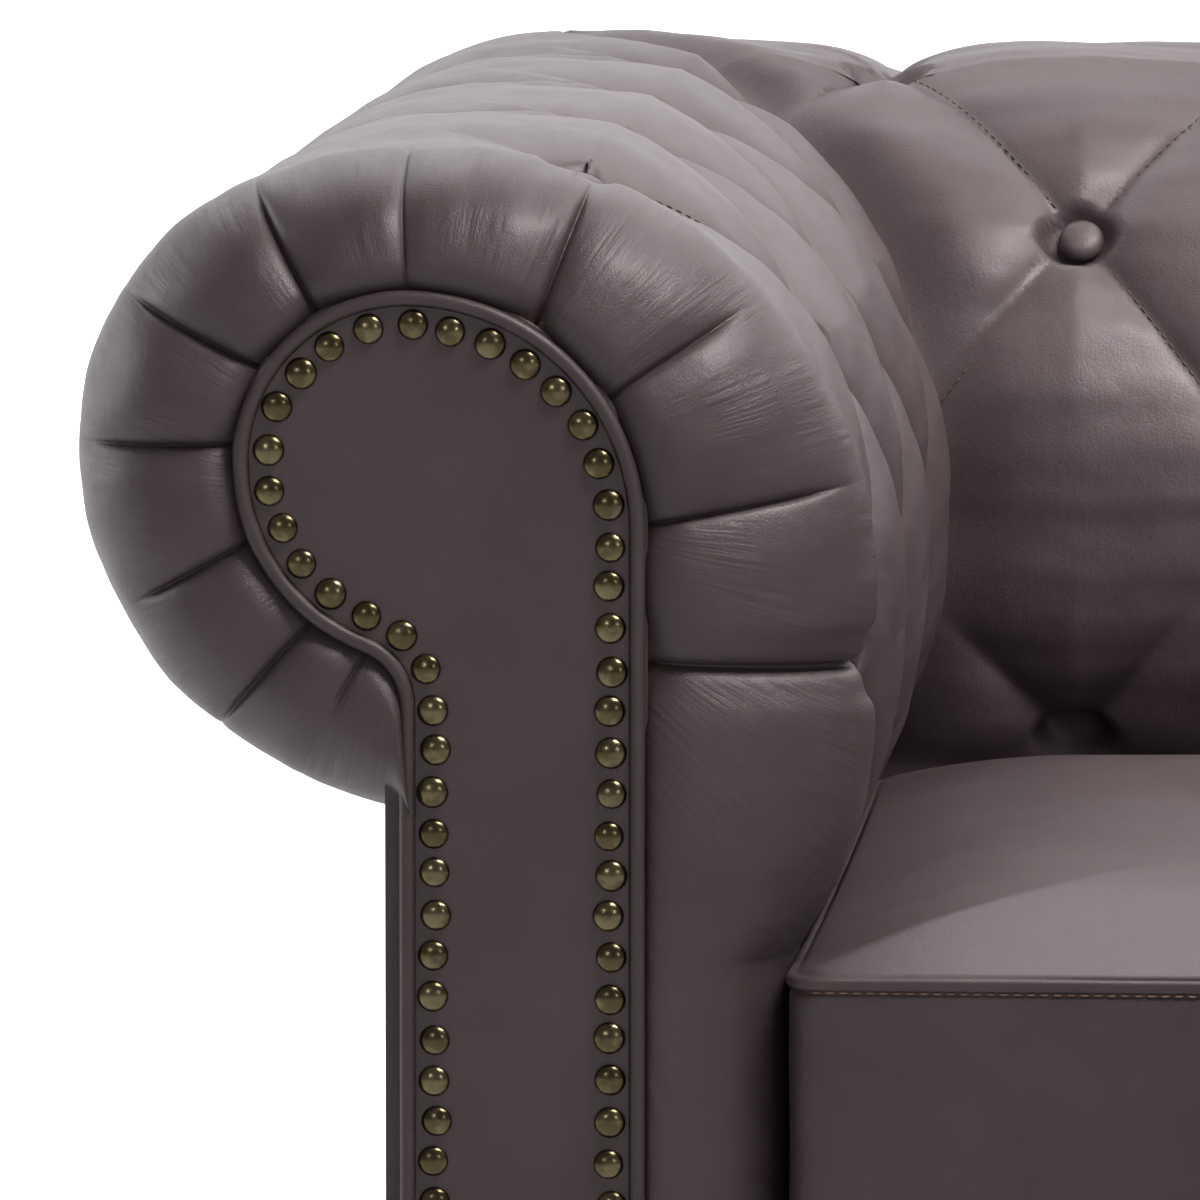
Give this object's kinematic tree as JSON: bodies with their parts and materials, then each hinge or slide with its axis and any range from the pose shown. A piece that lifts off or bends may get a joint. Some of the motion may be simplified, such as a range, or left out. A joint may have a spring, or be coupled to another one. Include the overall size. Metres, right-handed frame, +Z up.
{
  "type": "chesterfield sofa",
  "caption": "Chesterfield sofa with scroll arms, diamond-tufted arms and back at one height, loose box seat cushions, brass nails along the arm fronts and turned feet.",
  "frame": {"origin": "on the floor, under the middle of the sofa's bounding box", "axes": "+X across the sofa towards the arm at a viewer's right, +Y towards the back, +Z up; the seat faces -Y"},
  "size_m": [2.165, 0.8944, 0.752],
  "materials": {
    "cushion_leather": "smooth fine-grain dark mauve-brown leather, soft sheen",
    "padded_leather": "smooth fine-grain dark mauve-brown leather, pleated and tufted",
    "facing_leather": "smooth fine-grain dark mauve-brown leather, stretched flat",
    "welt_leather": "piped leather welt",
    "panel_leather": "plain stretched leather",
    "border_leather": "plain stretched leather",
    "button_leather": "leather-covered button",
    "antique_brass": "antiqued, polished domes",
    "glide_plastic": "matt black",
    "foot_wood": "turned, dark mahogany stain, satin lacquer",
    "frame_wood": "sawn hardwood",
    "plywood": "birch plywood",
    "webbing": "woven elastic webbing",
    "black_cloth": "black lining cloth",
    "foam": "polyurethane foam"
  },
  "bodies": {
    "sofa": {"arm_buttons_left": "button_leather", "arm_buttons_right": "button_leather", "arm_facing_left": "facing_leather", "arm_facing_right": "facing_leather", "arm_front_board_left": "plywood", "arm_front_board_right": "plywood", "arm_inner_board_left": "plywood", "arm_inner_board_right": "plywood", "arm_nails_left": "antique_brass", "arm_nails_right": "antique_brass", "arm_outer_panel_left": "panel_leather", "arm_outer_panel_right": "panel_leather", "arm_pad_left": "padded_leather", "arm_pad_right": "padded_leather", "arm_roll_board_left": "plywood", "arm_roll_board_right": "plywood", "arm_welt_left": "welt_leather", "arm_welt_right": "welt_leather", "back_buttons": "button_leather", "back_inner_board": "plywood", "back_outer_panel": "panel_leather", "back_pad": "padded_leather", "back_rail": "frame_wood", "back_ribs": "frame_wood", "back_roll_board": "plywood", "base_rail": "frame_wood", "corner_pad_left": "padded_leather", "corner_pad_right": "padded_leather", "corner_post_left": "frame_wood", "corner_post_right": "frame_wood", "cross_rails": "frame_wood", "dust_cover": "black_cloth", "foot_back_left": "foot_wood", "foot_back_middle": "foot_wood", "foot_back_right": "foot_wood", "foot_blocks": "frame_wood", "foot_front_left": "foot_wood", "foot_front_middle": "foot_wood", "foot_front_right": "foot_wood", "foot_glides": "glide_plastic", "front_border": "border_leather", "front_rail": "frame_wood", "seat_deck": "black_cloth", "seat_webbing": "webbing", "side_rail_left": "frame_wood", "side_rail_right": "frame_wood"},
    "seat_cushion_left": {"cushion_cover_left": "cushion_leather", "cushion_core_left": "foam"},
    "seat_cushion_middle": {"cushion_cover_middle": "cushion_leather", "cushion_core_middle": "foam"},
    "seat_cushion_right": {"cushion_cover_right": "cushion_leather", "cushion_core_right": "foam"}
  },
  "joints": [
    {"name": "seat_cushion_left_slide", "type": "slide", "parent": "sofa", "child": "seat_cushion_left", "axis": [0, -1, 0], "range_m": [0, 0.6]},
    {"name": "seat_cushion_middle_slide", "type": "slide", "parent": "sofa", "child": "seat_cushion_middle", "axis": [0, -1, 0], "range_m": [0, 0.6]},
    {"name": "seat_cushion_right_slide", "type": "slide", "parent": "sofa", "child": "seat_cushion_right", "axis": [0, -1, 0], "range_m": [0, 0.6]}
  ]
}
